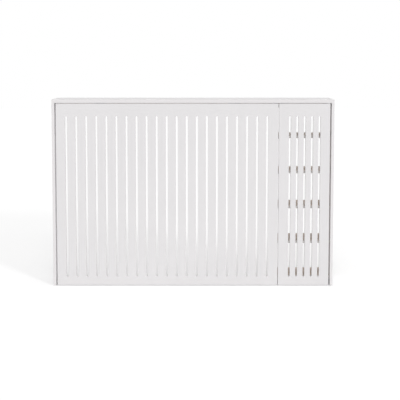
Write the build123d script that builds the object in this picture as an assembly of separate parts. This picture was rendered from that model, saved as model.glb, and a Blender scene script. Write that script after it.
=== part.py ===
from build123d import *

import os
from collections import namedtuple

# Radiator cover cabinet: a wide slotted panel hides a radiator, and a narrow slotted
# door closes a bay of shelves beside it. Millimetres, +X to the viewer's right, the
# front faces -Y, +Z up. The origin is on the floor, under the middle of the footprint.

# --- Driving dimensions -------------------------------------------------------------
WIDTH = 1220.0
HEIGHT = 815.0
DEPTH = 190.0
BOARD = 12.0  # sides, divider, shelves, rails and front panels
TOP_BOARD = 15.0
GLIDE_HEIGHT = 1.0
EASE = 1.0  # rounding of the edges that a hand can touch

FRONT_SETBACK = 2.0  # the front panels sit this far behind the sides' front edges
SIDE_GAP = 5.5  # between each side and the front panel beside it
MIDDLE_GAP = 2.5  # between the two front panels
FRONT_TOP_GAP = 2.0
FRONT_BOTTOM = 2.0  # height of both front panels' bottom edges above the floor
DOOR_WIDTH = 221.0

SLOT_WIDTH = 8.0
SLOT_BOTTOM = 40.5
SLOT_TOP = 743.0
SLOT_EASE = 0.5
GRILLE_SLOTS = 21
GRILLE_PITCH = 43.5
GRILLE_MARGIN = 44.0  # from the panel's left edge to the middle of its first slot
DOOR_SLOTS = 5
DOOR_PITCH = 32.0
DOOR_MARGIN = 47.5

SKIRTING_DEPTH = 20.0  # notch at the back of the three uprights
SKIRTING_HEIGHT = 110.0
DIVIDER_SETBACK = 15.0
SHELF_SETBACK = 18.0
SHELF_BACK_GAP = 2.0
SHELF_END_GAP = 0.5  # at each end of a loose shelf
SHELF_COUNT = 4
BOTTOM_BOARD_TOP = 44.5
COMPARTMENT = 141.5  # clear height of each of the five equal compartments

BACK_RAIL_HEIGHT = 60.0
WALL_HOLE_RADIUS = 2.75
WALL_HOLE_SPACING = 700.0
FRONT_RAIL_BOTTOM = 6.0
FRONT_RAIL_HEIGHT = 28.0
FRONT_RAIL_SETBACK = 16.0
FRONT_RAIL_CAM = 15.0  # height of the rail's cams above its lower edge
FRONT_RAIL_DOWEL = 4.5
BACK_RAIL_DOWEL = 12.0
STORAGE_RAIL_HEIGHT = 30.0
STORAGE_RAIL_CAM = 9.0  # clear of the other back rail's bolt in the divider
STORAGE_RAIL_DOWEL = 22.0

CAM_RADIUS = 6.0
CAM_DEPTH = 10.0
CAM_RECESS = 2.2
CAM_CROSS = 7.2
CAM_SOCKET_RADIUS = 3.1
BOLT_STEM_RADIUS = 2.0
BOLT_STEM = 20.0
BOLT_HEAD_RADIUS = 2.9
BOLT_HEAD = 3.0
BOLT_THREAD_RADIUS = 2.5
BOLT_THREAD = 8.0
BOLT_CLEARANCE_RADIUS = 3.5
DOWEL_RADIUS = 3.0
DOWEL_IN_EDGE = 16.0
DOWEL_IN_FACE = 8.0
TOP_CAM_Y = (-60.0, 60.0)
TOP_DOWEL_Y = (-30.0, 30.0)
BOTTOM_CAM_Y = (-50.0, 45.0)
BOTTOM_DOWEL_Y = (-20.0, 15.0)

SHELF_PIN_RADIUS = 2.5
SHELF_PIN_IN = 8.0
SHELF_PIN_OUT = 7.0
SHELF_PIN_Y = (-45.0, 60.0)

HINGE_INSET = 6.0  # axis to the door's hinge edge and to its front face
HINGE_PIN_RADIUS = 2.0
HINGE_PIN_REACH = 11.5
HINGE_BUSH_RADIUS = 3.5
HINGE_BUSH_LENGTH = 12.0
RUNNING_FIT = 0.05
HINGE_FOOT = (0.3, 1.5)  # heights of the lower bracket's foot
HINGE_PLATE = 1.6  # thickness of the upper plate
HINGE_LEAF = 1.8
HINGE_LEAF_TOP = 30.0
HINGE_LEAF_FRONT = -76.0
HINGE_BACK = -40.0
HINGE_SCREW_Y = (-66.0, -50.0)
HINGE_NOSE_RADIUS = 5.5
HINGE_WASHER_RADIUS = 5.0

SCREW_HEAD_RADIUS = 3.2
SCREW_HEAD = 1.8
SCREW_DOME = 1.2
SCREW_CROSS = 3.5
SCREW_RECESS = 1.1
CROSS_BAR = 0.2  # a driver recess's bar, as a share of its width
SCREW_RADIUS = 1.6
SCREW_DEPTH = 10.0

CATCH_SPREAD = 580.0  # between the two magnetic catches of the slotted panel
CATCH_CORE = (36.0, 14.0, 16.0)
CATCH_EAR = 10.0
CATCH_EAR_THICKNESS = 2.5
CATCH_MAGNET = (22.0, 10.0, 8.0)
CATCH_MAGNET_PROUD = 0.5
CATCH_AIR = 0.3
STRIKE = (38.0, 1.5, 11.0)
STRIKE_TOP = 795.0
STRIKE_SCREW_SPREAD = 28.0
STRIKE_SCREW_HEAD_RADIUS = 2.6
STRIKE_SCREW_RADIUS = 1.4
STRIKE_SCREW_LENGTH = 9.0
STRIKE_SCREW_CROSS = 3.1
STRIKE_SCREW_RECESS = 1.0

PEG_RADIUS = 3.0
PEG_SPREAD = 770.0
PEG_HEIGHT = 20.0
PEG_IN = 8.0
PEG_OUT = 11.0
PEG_LEAD = 1.0  # chamfer on the tip that finds the socket
SOCKET_RADIUS = 5.0
SOCKET_FLANGE_RADIUS = 7.0
SOCKET_FLANGE = 1.0

CASING_ROUND = 1.5
EAR_ROUND = 4.0

LATCH_X = 400.0
LATCH_Z = 786.0
LATCH_BODY_WIDTH = 22.0
LATCH_BODY_BOTTOM = 778.0
LATCH_FRONT = -74.0
LATCH_LENGTH = 50.0
LATCH_EAR = 8.0
LATCH_EAR_THICKNESS = 3.0
LATCH_SCREW_SPREAD = 30.0
PLUNGER_RADIUS = 4.5
PLUNGER_TAIL = -50.0
LATCH_BORE_END = -34.0
LATCH_MAGNET_RADIUS = 3.5
LATCH_MAGNET = 2.5
LATCH_AIR = 0.1
LATCH_DISC_RADIUS = 9.0
SPRING_OUTER_RADIUS = 3.8
SPRING_INNER_RADIUS = 2.9

BUMPER_RADIUS = 4.0
BUMPER_AIR = 0.2
BUMPER_INSET = 10.0

GLIDE_RADIUS = 5.0
GLIDE_NAIL_RADIUS = 1.2
GLIDE_NAIL = 12.0
BACK_GLIDE_Y = 60.0
SIDE_GLIDE_INSET = 10.0
DIVIDER_GLIDE_INSET = 22.0

# --- Places worked out from them ----------------------------------------------------
FRONT = -DEPTH / 2
BACK = DEPTH / 2
SIDE = WIDTH / 2
SIDE_INNER = SIDE - BOARD
UNDERSIDE = HEIGHT - TOP_BOARD
PANEL_FRONT = FRONT + FRONT_SETBACK
PANEL_BACK = PANEL_FRONT + BOARD
PANEL_TOP = UNDERSIDE - FRONT_TOP_GAP
DOOR_RIGHT = SIDE_INNER - SIDE_GAP
DOOR_LEFT = DOOR_RIGHT - DOOR_WIDTH
GRILLE_LEFT = -SIDE_INNER + SIDE_GAP
GRILLE_RIGHT = DOOR_LEFT - MIDDLE_GAP
GRILLE_MIDDLE = (GRILLE_LEFT + GRILLE_RIGHT) / 2
DIVIDER_RIGHT = GRILLE_RIGHT
DIVIDER_LEFT = DIVIDER_RIGHT - BOARD
DIVIDER_MIDDLE = (DIVIDER_LEFT + DIVIDER_RIGHT) / 2
DIVIDER_FRONT = FRONT + DIVIDER_SETBACK
NOTCH_FRONT = BACK - SKIRTING_DEPTH
SHELF_FRONT = FRONT + SHELF_SETBACK
SHELF_BACK = BACK - SHELF_BACK_GAP
BOTTOM_BOARD_BACK = NOTCH_FRONT - SHELF_BACK_GAP
BOTTOM_BOARD_MIDDLE = BOTTOM_BOARD_TOP - BOARD / 2
SHELF_TOPS = [
    BOTTOM_BOARD_TOP + (n + 1) * (COMPARTMENT + BOARD) for n in range(SHELF_COUNT)
]
FRONT_RAIL_FRONT = FRONT + FRONT_RAIL_SETBACK
FRONT_RAIL_BACK = FRONT_RAIL_FRONT + BOARD
FRONT_RAIL_MIDDLE = (FRONT_RAIL_FRONT + FRONT_RAIL_BACK) / 2
BACK_RAIL_Y = BACK - BOARD / 2
BACK_RAIL_BOTTOM = UNDERSIDE - BACK_RAIL_HEIGHT
BACK_RAIL_MIDDLE = UNDERSIDE - BACK_RAIL_HEIGHT / 2
STORAGE_RAIL_BOTTOM = UNDERSIDE - STORAGE_RAIL_HEIGHT
BAY_MIDDLE = (DIVIDER_LEFT - SIDE_INNER) / 2
HINGE_X = DOOR_RIGHT - HINGE_INSET
HINGE_Y = PANEL_FRONT + HINGE_INSET
STRIKE_BACK = PANEL_BACK + STRIKE[1]
CATCH_MAGNET_FRONT = STRIKE_BACK + CATCH_AIR
CATCH_CORE_FRONT = CATCH_MAGNET_FRONT + CATCH_MAGNET_PROUD
LATCH_TIP = STRIKE_BACK + LATCH_AIR

UP, DOWN = Vector(0, 0, 1), Vector(0, 0, -1)
LEFTWARD, RIGHTWARD = Vector(-1, 0, 0), Vector(1, 0, 0)
FORWARD, BACKWARD = Vector(0, -1, 0), Vector(0, 1, 0)

# inner_face: outward normal of the face that its cams are let into
Upright = namedtuple("Upright", "name middle inner_face front_glide_y")
UPRIGHTS = [
    Upright("left_side_panel", -SIDE + BOARD / 2, RIGHTWARD, FRONT + SIDE_GLIDE_INSET),
    Upright("divider_panel", DIVIDER_MIDDLE, LEFTWARD, DIVIDER_FRONT + DIVIDER_GLIDE_INSET),
    Upright("right_side_panel", SIDE - BOARD / 2, LEFTWARD, FRONT + SIDE_GLIDE_INSET),
]
# The ends of the boards of each bay: the upright that they meet, where, and which way
STORAGE_ENDS = [
    ("divider_panel", DIVIDER_RIGHT, LEFTWARD),
    ("right_side_panel", SIDE_INNER, RIGHTWARD),
]
RAIL_ENDS = [
    ("left_side_panel", -SIDE_INNER, LEFTWARD),
    ("divider_panel", DIVIDER_LEFT, RIGHTWARD),
]

# point: on the meeting plane; into: from the board with the cam into the other board;
# face: outward normal of the face that the cam is let into
CamJoint = namedtuple("CamJoint", "point into face")
Dowel = namedtuple("Dowel", "point into")


# --- Shapes -------------------------------------------------------------------------
def span(x, y, z):
    """A block between two values on each axis."""
    size = [high - low for low, high in (x, y, z)]
    middle = [(high + low) / 2 for low, high in (x, y, z)]
    return Pos(*middle) * Box(*size)


def around(middle, size):
    """The two ends of a length centred on a middle."""
    return (middle - size / 2, middle + size / 2)


def rod(start, direction, length, radius):
    """A cylinder that starts at a point and runs along a direction."""
    plane = Plane(origin=start, z_dir=direction)
    return plane * Cylinder(radius, length, align=(Align.CENTER, Align.CENTER, Align.MIN))


def tube(start, direction, length, outer, inner):
    return rod(start, direction, length, outer) - rod(start, direction, length, inner)


def recess(size, depth):
    """A cross-shaped driver recess, sunk upwards from the local ground plane."""
    low = (Align.CENTER, Align.CENTER, Align.MIN)
    bar = size * CROSS_BAR
    return Box(size, bar, depth, align=low) + Box(bar, size, depth, align=low)


def screw(seat, into, depth=SCREW_DEPTH):
    """A pan-head screw: the head sits on a point and the shank runs inwards from it."""
    low = (Align.CENTER, Align.CENTER, Align.MIN)
    head = Cylinder(SCREW_HEAD_RADIUS, SCREW_HEAD, align=low)
    head = fillet(head.edges().sort_by(Axis.Z)[0], SCREW_DOME)
    head -= recess(SCREW_CROSS, SCREW_RECESS)
    head += Pos(0, 0, SCREW_HEAD) * Cylinder(SCREW_RADIUS, depth, align=low)
    return Plane(origin=seat - into * SCREW_HEAD, z_dir=into) * head


def countersunk(mouth, into, head_depth, length):
    """A countersunk screw whose flat head lies flush in a face at a point."""
    plane = Plane(origin=mouth, z_dir=into)
    low = (Align.CENTER, Align.CENTER, Align.MIN)
    head = Cone(STRIKE_SCREW_HEAD_RADIUS, STRIKE_SCREW_RADIUS, head_depth, align=low)
    return plane * (head + Cylinder(STRIKE_SCREW_RADIUS, length, align=low))


def slot_cutter():
    """An upright round-ended cutter whose two mouths are eased in the panel's faces."""
    length = SLOT_TOP - SLOT_BOTTOM
    outline = SlotOverall(length, SLOT_WIDTH, rotation=90)
    mouth = SlotOverall(length + 2 * SLOT_EASE, SLOT_WIDTH + 2 * SLOT_EASE, rotation=90)
    cutter = extrude(Plane.XZ.offset(-PANEL_FRONT + BOARD / 2) * outline, amount=-2 * BOARD)
    for face, inward in ((PANEL_FRONT, SLOT_EASE), (PANEL_BACK, -SLOT_EASE)):
        wide = Plane.XZ.offset(-face) * mouth
        narrow = Plane.XZ.offset(-face - inward) * outline
        cutter += loft([wide.face(), narrow.face()])
    return cutter


def slots(first, count, pitch):
    """Cutters for evenly spaced upright slots, from the middle of the leftmost."""
    height = (SLOT_TOP + SLOT_BOTTOM) / 2
    cutter = slot_cutter()
    return [Pos(first + n * pitch, 0, height) * cutter for n in range(count)]


# --- Cam joints and dowels ----------------------------------------------------------
def cam_joints():
    """Every cam joint by the board that holds the cam, with the board that it pulls up."""
    for upright in UPRIGHTS:
        for y in TOP_CAM_Y:
            point = Vector(upright.middle, y, UNDERSIDE)
            yield upright.name, "top_panel", CamJoint(point, UP, upright.inner_face)
    for name, x, into in STORAGE_ENDS:
        for y in BOTTOM_CAM_Y:
            point = Vector(x, y, BOTTOM_BOARD_MIDDLE)
            yield "bottom_board", name, CamJoint(point, into, DOWN)
        point = Vector(x, BACK_RAIL_Y, STORAGE_RAIL_BOTTOM + STORAGE_RAIL_CAM)
        yield "storage_back_rail", name, CamJoint(point, into, FORWARD)
    for name, x, into in RAIL_ENDS:
        point = Vector(x, BACK_RAIL_Y, BACK_RAIL_MIDDLE)
        yield "top_back_rail", name, CamJoint(point, into, FORWARD)
        point = Vector(x, FRONT_RAIL_MIDDLE, FRONT_RAIL_BOTTOM + FRONT_RAIL_CAM)
        yield "lower_front_rail", name, CamJoint(point, into, BACKWARD)


def dowels():
    """Every dowel by the board whose edge holds it, with the board whose face it enters."""
    for upright in UPRIGHTS:
        for y in TOP_DOWEL_Y:
            yield upright.name, "top_panel", Dowel(Vector(upright.middle, y, UNDERSIDE), UP)
    for name, x, into in STORAGE_ENDS:
        for y in BOTTOM_DOWEL_Y:
            yield "bottom_board", name, Dowel(Vector(x, y, BOTTOM_BOARD_MIDDLE), into)
        point = Vector(x, BACK_RAIL_Y, STORAGE_RAIL_BOTTOM + STORAGE_RAIL_DOWEL)
        yield "storage_back_rail", name, Dowel(point, into)
    for name, x, into in RAIL_ENDS:
        point = Vector(x, BACK_RAIL_Y, BACK_RAIL_BOTTOM + BACK_RAIL_DOWEL)
        yield "top_back_rail", name, Dowel(point, into)
        point = Vector(x, FRONT_RAIL_MIDDLE, FRONT_RAIL_BOTTOM + FRONT_RAIL_DOWEL)
        yield "lower_front_rail", name, Dowel(point, into)


def cam_seat(joint):
    """Middle of the cam's mouth, on the face that it is let into."""
    tip = joint.point - joint.into * BOLT_STEM
    return tip + joint.face * (BOARD / 2)


def cam(joint):
    body = Cylinder(CAM_RADIUS, CAM_DEPTH, align=(Align.CENTER, Align.CENTER, Align.MIN))
    body -= recess(CAM_CROSS, CAM_RECESS)
    tip = joint.point - joint.into * (BOLT_STEM + BOLT_HEAD)
    socket = rod(tip, joint.into, BOLT_STEM, CAM_SOCKET_RADIUS)
    return Plane(origin=cam_seat(joint), z_dir=-joint.face) * body - socket


def cam_bolt(joint):
    tip = joint.point - joint.into * BOLT_STEM
    head = rod(tip, joint.into, BOLT_HEAD, BOLT_HEAD_RADIUS)
    stem = rod(tip, joint.into, BOLT_STEM, BOLT_STEM_RADIUS)
    return head + stem + rod(joint.point, joint.into, BOLT_THREAD, BOLT_THREAD_RADIUS)


def dowel(place):
    start = place.point - place.into * DOWEL_IN_EDGE
    return rod(start, place.into, DOWEL_IN_EDGE + DOWEL_IN_FACE, DOWEL_RADIUS)


def joint_cutters(board):
    """Every hole that the cams, their bolts and the dowels need in one board."""
    cutters = []
    for holder, mate, joint in cam_joints():
        if board == holder:
            cutters.append(rod(cam_seat(joint), -joint.face, CAM_DEPTH, CAM_RADIUS))
            reach = BOLT_STEM - CAM_RADIUS / 2
            cutters.append(rod(joint.point, -joint.into, reach, BOLT_CLEARANCE_RADIUS))
        if board == mate:
            cutters.append(rod(joint.point, joint.into, BOLT_THREAD, BOLT_THREAD_RADIUS))
    cutters += [dowel(place) for holder, mate, place in dowels() if board in (holder, mate)]
    return cutters


# --- Hardware places ----------------------------------------------------------------
def shelf_pin_places():
    """Start of each shelf pin, on an upright's inner face, and the way into the upright."""
    for top in SHELF_TOPS:
        height = top - BOARD - SHELF_PIN_RADIUS
        for y in SHELF_PIN_Y:
            for name, x, into in STORAGE_ENDS:
                yield name, Vector(x, y, height), into


def shelf_pin(point, into):
    start = point - into * SHELF_PIN_OUT
    return rod(start, into, SHELF_PIN_OUT + SHELF_PIN_IN, SHELF_PIN_RADIUS)


def glide_places():
    for upright in UPRIGHTS:
        for y in (upright.front_glide_y, BACK_GLIDE_Y):
            yield upright.name, Vector(upright.middle, y, GLIDE_HEIGHT)


def glide_nail(point):
    return rod(point, UP, GLIDE_NAIL, GLIDE_NAIL_RADIUS)


def catch_screw_seats():
    offset = CATCH_CORE[0] + CATCH_EAR
    y = CATCH_CORE_FRONT + CATCH_CORE[1] / 2
    for catch_x in around(GRILLE_MIDDLE, CATCH_SPREAD):
        for x in around(catch_x, offset):
            yield Vector(x, y, UNDERSIDE - CATCH_EAR_THICKNESS)


def strike_screw_mouths():
    for catch_x in around(GRILLE_MIDDLE, CATCH_SPREAD):
        for x in around(catch_x, STRIKE_SCREW_SPREAD):
            yield Vector(x, STRIKE_BACK, STRIKE_TOP - STRIKE[2] / 2)


def peg_roots():
    """Where the locating pegs leave the back of the slotted panel."""
    for x in around(GRILLE_MIDDLE, PEG_SPREAD):
        yield Vector(x, PANEL_BACK, PEG_HEIGHT)


def lower_hinge_seats():
    height = (HINGE_FOOT[1] + HINGE_LEAF_TOP) / 2
    for y in HINGE_SCREW_Y:
        yield Vector(SIDE_INNER - HINGE_LEAF, y, height)


def upper_hinge_seats():
    for y in HINGE_SCREW_Y:
        yield Vector(HINGE_X, y, UNDERSIDE - HINGE_PLATE)


def latch_screw_seats():
    offset = LATCH_BODY_WIDTH + LATCH_EAR
    for x in around(LATCH_X, offset):
        for y in around(LATCH_FRONT + LATCH_LENGTH / 2, LATCH_SCREW_SPREAD):
            yield Vector(x, y, UNDERSIDE - LATCH_EAR_THICKNESS)


def bumper_roots():
    """Where the bumpers sit on the door's back, each opposite a board's front edge."""
    for height in (BOTTOM_BOARD_MIDDLE, SHELF_TOPS[-1] - BOARD / 2):
        yield Vector(DOOR_LEFT + BUMPER_INSET, PANEL_BACK, height)


def shank(seat, into, depth=SCREW_DEPTH):
    return rod(seat, into, depth, SCREW_RADIUS)


# --- Boards -------------------------------------------------------------------------
def top_panel():
    board = span((-SIDE, SIDE), (FRONT, BACK), (UNDERSIDE, HEIGHT))
    board = fillet(board.faces().sort_by(Axis.Z)[-1].edges(), EASE)
    holes = joint_cutters("top_panel")
    holes += [shank(seat, UP) for seat in catch_screw_seats()]
    holes += [shank(seat, UP) for seat in upper_hinge_seats()]
    holes += [shank(seat, UP) for seat in latch_screw_seats()]
    return board - holes


def upright(name, x, front):
    """A side or the divider: a board on edge with a notch for the skirting."""
    board = span(x, (front, BACK), (GLIDE_HEIGHT, UNDERSIDE))
    board -= span(x, (NOTCH_FRONT, BACK), (GLIDE_HEIGHT, SKIRTING_HEIGHT))
    front_face = board.faces().sort_by(Axis.Y)[0]
    board = fillet(front_face.edges().filter_by(Axis.Z), EASE)
    holes = joint_cutters(name)
    holes += [glide_nail(point) for owner, point in glide_places() if owner == name]
    holes += [
        shelf_pin(point, into)
        for owner, point, into in shelf_pin_places()
        if owner == name
    ]
    return board - holes


def left_side_panel():
    return upright("left_side_panel", (-SIDE, -SIDE_INNER), FRONT)


def right_side_panel():
    board = upright("right_side_panel", (SIDE_INNER, SIDE), FRONT)
    return board - [shank(seat, RIGHTWARD) for seat in lower_hinge_seats()]


def divider_panel():
    return upright("divider_panel", (DIVIDER_LEFT, DIVIDER_RIGHT), DIVIDER_FRONT)


def storage_board(top, back, clearance=0.0):
    """A board of the storage bay, with its front edge eased."""
    x = (DIVIDER_RIGHT + clearance, SIDE_INNER - clearance)
    board = span(x, (SHELF_FRONT, back), (top - BOARD, top))
    front_face = board.faces().sort_by(Axis.Y)[0]
    return fillet(front_face.edges().filter_by(Axis.X), EASE)


def bottom_board():
    board = storage_board(BOTTOM_BOARD_TOP, BOTTOM_BOARD_BACK)
    return board - joint_cutters("bottom_board")


def shelf(top):
    return storage_board(top, SHELF_BACK, SHELF_END_GAP)


def back_rail(x, bottom):
    return span(x, (BACK - BOARD, BACK), (bottom, UNDERSIDE))


def storage_back_rail():
    rail = back_rail((DIVIDER_RIGHT, SIDE_INNER), STORAGE_RAIL_BOTTOM)
    return rail - joint_cutters("storage_back_rail")


def top_back_rail():
    rail = back_rail((-SIDE_INNER, DIVIDER_LEFT), BACK_RAIL_BOTTOM)
    holes = [
        rod(Vector(hole_x, BACK, BACK_RAIL_MIDDLE), FORWARD, BOARD, WALL_HOLE_RADIUS)
        for hole_x in around(BAY_MIDDLE, WALL_HOLE_SPACING)
    ]
    return rail - (holes + joint_cutters("top_back_rail"))


def lower_front_rail():
    x = (-SIDE_INNER, DIVIDER_LEFT)
    z = (FRONT_RAIL_BOTTOM, FRONT_RAIL_BOTTOM + FRONT_RAIL_HEIGHT)
    rail = span(x, (FRONT_RAIL_FRONT, FRONT_RAIL_BACK), z)
    holes = []
    for root in peg_roots():
        mouth = Vector(root.X, FRONT_RAIL_FRONT, root.Z)
        holes.append(rod(mouth, BACKWARD, BOARD, SOCKET_RADIUS))
    return rail - (holes + joint_cutters("lower_front_rail"))


# --- Front panels -------------------------------------------------------------------
def front_panel(x, margin, count, pitch):
    board = span(x, (PANEL_FRONT, PANEL_BACK), (FRONT_BOTTOM, PANEL_TOP))
    board = fillet(board.edges(), EASE)
    return board - slots(x[0] + margin, count, pitch)


def grille_panel():
    x = (GRILLE_LEFT, GRILLE_RIGHT)
    board = front_panel(x, GRILLE_MARGIN, GRILLE_SLOTS, GRILLE_PITCH)
    holes = [strike_screw_seat(mouth) for mouth in strike_screw_mouths()]
    holes += [rod(root, FORWARD, PEG_IN, PEG_RADIUS) for root in peg_roots()]
    return board - holes


def door_panel():
    board = front_panel((DOOR_LEFT, DOOR_RIGHT), DOOR_MARGIN, DOOR_SLOTS, DOOR_PITCH)
    holes = [
        rod(point, into, HINGE_BUSH_LENGTH, HINGE_BUSH_RADIUS)
        for point, into in door_bush_mouths()
    ]
    holes.append(strike_screw_seat(latch_disc_middle()))
    return board - holes


def door_bush_mouths():
    yield Vector(HINGE_X, HINGE_Y, FRONT_BOTTOM), UP
    yield Vector(HINGE_X, HINGE_Y, PANEL_TOP), DOWN


def strike_screw_seat(mouth):
    """The countersunk seat and pilot hole, and the outline of the screw that fills them."""
    return countersunk(mouth, FORWARD, STRIKE[1], STRIKE_SCREW_LENGTH)


def strike_screw(mouth):
    cross = recess(STRIKE_SCREW_CROSS, STRIKE_SCREW_RECESS)
    return strike_screw_seat(mouth) - Plane(origin=mouth, z_dir=FORWARD) * cross


def latch_disc_middle():
    return Vector(LATCH_X, STRIKE_BACK, LATCH_Z)


# --- Door hinge ---------------------------------------------------------------------
def lower_pivot_bracket():
    """A foot under the door's corner and a leaf against the right side panel."""
    axis_foot = Vector(HINGE_X, HINGE_Y, HINGE_FOOT[0])
    nose = rod(axis_foot, UP, HINGE_FOOT[1] - HINGE_FOOT[0], HINGE_NOSE_RADIUS)
    arm = span(around(HINGE_X, 2 * HINGE_NOSE_RADIUS), (HINGE_Y, HINGE_BACK), HINGE_FOOT)
    base = span((HINGE_X, SIDE_INNER), (HINGE_LEAF_FRONT, HINGE_BACK), HINGE_FOOT)
    leaf_x = (SIDE_INNER - HINGE_LEAF, SIDE_INNER)
    leaf = span(leaf_x, (HINGE_LEAF_FRONT, HINGE_BACK), (HINGE_FOOT[0], HINGE_LEAF_TOP))
    pin = rod(axis_foot, UP, HINGE_PIN_REACH, HINGE_PIN_RADIUS)
    holes = [shank(seat, RIGHTWARD) for seat in lower_hinge_seats()]
    return nose + arm + base + leaf - (holes + [pin])


def upper_pivot_plate():
    """A flat plate under the top panel that reaches out over the door's corner."""
    z = (UNDERSIDE - HINGE_PLATE, UNDERSIDE)
    nose = rod(Vector(HINGE_X, HINGE_Y, z[0]), UP, HINGE_PLATE, HINGE_NOSE_RADIUS)
    arm = span(around(HINGE_X, 2 * HINGE_NOSE_RADIUS), (HINGE_Y, HINGE_BACK), z)
    pin = rod(Vector(HINGE_X, HINGE_Y, z[0]), UP, HINGE_PLATE, HINGE_PIN_RADIUS)
    holes = [shank(seat, UP) for seat in upper_hinge_seats()]
    return nose + arm - (holes + [pin])


def pivot_pins():
    low = Vector(HINGE_X, HINGE_Y, HINGE_FOOT[0])
    low_length = HINGE_FOOT[1] - HINGE_FOOT[0] + HINGE_PIN_REACH
    high = Vector(HINGE_X, HINGE_Y, UNDERSIDE)
    high_length = HINGE_PLATE + HINGE_PIN_REACH
    return [
        rod(low, UP, low_length, HINGE_PIN_RADIUS),
        rod(high, DOWN, high_length, HINGE_PIN_RADIUS),
    ]


def pivot_bushes():
    inner = HINGE_PIN_RADIUS + RUNNING_FIT
    return [
        tube(point, into, HINGE_BUSH_LENGTH, HINGE_BUSH_RADIUS, inner)
        for point, into in door_bush_mouths()
    ]


def thrust_washer():
    start = Vector(HINGE_X, HINGE_Y, HINGE_FOOT[1])
    inner = HINGE_PIN_RADIUS + RUNNING_FIT
    return tube(start, UP, FRONT_BOTTOM - HINGE_FOOT[1], HINGE_WASHER_RADIUS, inner)


def pivot_screws():
    low = [screw(seat, RIGHTWARD) for seat in lower_hinge_seats()]
    return low + [screw(seat, UP) for seat in upper_hinge_seats()]


# --- Catches and pegs of the lift-off panel -----------------------------------------
def catch_magnet(catch_x):
    width, depth, height = CATCH_MAGNET
    y = (CATCH_MAGNET_FRONT, CATCH_MAGNET_FRONT + depth)
    z = around(STRIKE_TOP - STRIKE[2] / 2, height)
    return span(around(catch_x, width), y, z)


def catch_housing(catch_x):
    width, depth, height = CATCH_CORE
    y = (CATCH_CORE_FRONT, CATCH_CORE_FRONT + depth)
    core = span(around(catch_x, width), y, (UNDERSIDE - height, UNDERSIDE))
    core = fillet(core.edges().filter_by(Axis.Z), CASING_ROUND)
    ear_z = (UNDERSIDE - CATCH_EAR_THICKNESS, UNDERSIDE)
    ears = span(around(catch_x, width + 2 * CATCH_EAR), y, ear_z)
    ears = fillet(ears.edges().filter_by(Axis.Z), EAR_ROUND)
    holes = [shank(seat, UP) for seat in catch_screw_seats()]
    return core + ears - (holes + [catch_magnet(catch_x)])


def strike_plate(catch_x):
    width, _, height = STRIKE
    z = (STRIKE_TOP - height, STRIKE_TOP)
    plate = span(around(catch_x, width), (PANEL_BACK, STRIKE_BACK), z)
    plate = fillet(plate.edges().filter_by(Axis.Y), CASING_ROUND)
    return plate - [strike_screw_seat(mouth) for mouth in strike_screw_mouths()]


def locating_peg(root):
    length = PEG_IN + PEG_OUT
    peg = rod(root + FORWARD * PEG_IN, BACKWARD, length, PEG_RADIUS)
    return chamfer(peg.edges().sort_by(Axis.Y)[-1], PEG_LEAD)


def peg_socket(root):
    inner = PEG_RADIUS + RUNNING_FIT
    mouth = Vector(root.X, FRONT_RAIL_FRONT, root.Z)
    sleeve = tube(mouth, BACKWARD, BOARD, SOCKET_RADIUS, inner)
    return sleeve + tube(mouth, FORWARD, SOCKET_FLANGE, SOCKET_FLANGE_RADIUS, inner)


# --- Push-to-open latch -------------------------------------------------------------
def push_latch_body():
    y = (LATCH_FRONT, LATCH_FRONT + LATCH_LENGTH)
    body = span(around(LATCH_X, LATCH_BODY_WIDTH), y, (LATCH_BODY_BOTTOM, UNDERSIDE))
    lower_edges = body.faces().sort_by(Axis.Z)[0].edges()
    body = fillet(lower_edges.filter_by(Axis.Y) + body.edges().filter_by(Axis.Z), CASING_ROUND)
    ear_z = (UNDERSIDE - LATCH_EAR_THICKNESS, UNDERSIDE)
    ears = span(around(LATCH_X, LATCH_BODY_WIDTH + 2 * LATCH_EAR), y, ear_z)
    body += fillet(ears.edges().filter_by(Axis.Z), EAR_ROUND)
    bore_start = Vector(LATCH_X, LATCH_FRONT, LATCH_Z)
    bore_radius = PLUNGER_RADIUS + RUNNING_FIT
    bore = rod(bore_start, BACKWARD, LATCH_BORE_END - LATCH_FRONT, bore_radius)
    return body - ([bore] + [shank(seat, UP) for seat in latch_screw_seats()])


def latch_magnet():
    start = Vector(LATCH_X, LATCH_TIP, LATCH_Z)
    return rod(start, BACKWARD, LATCH_MAGNET, LATCH_MAGNET_RADIUS)


def push_latch_plunger():
    start = Vector(LATCH_X, LATCH_TIP, LATCH_Z)
    return rod(start, BACKWARD, PLUNGER_TAIL - LATCH_TIP, PLUNGER_RADIUS) - latch_magnet()


def latch_spring():
    """The outline of the spring between the plunger's tail and the end of the bore."""
    start = Vector(LATCH_X, PLUNGER_TAIL, LATCH_Z)
    length = LATCH_BORE_END - PLUNGER_TAIL
    return tube(start, BACKWARD, length, SPRING_OUTER_RADIUS, SPRING_INNER_RADIUS)


def latch_strike_disc():
    start = latch_disc_middle()
    disc = rod(start, FORWARD, STRIKE[1], LATCH_DISC_RADIUS)
    return disc - strike_screw_seat(start)


def door_bumper(root):
    length = SHELF_FRONT - PANEL_BACK - BUMPER_AIR
    pad = rod(root, BACKWARD, length, BUMPER_RADIUS)
    return fillet(pad.edges().sort_by(Axis.Y)[-1], length / 2)


# --- Every sub-part by its name -----------------------------------------------------
def glide(point):
    return rod(point, DOWN, GLIDE_HEIGHT, GLIDE_RADIUS) + glide_nail(point)


def group(solids):
    """Separate pieces of one kind, kept together under one name."""
    return Compound(children=list(solids))


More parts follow.
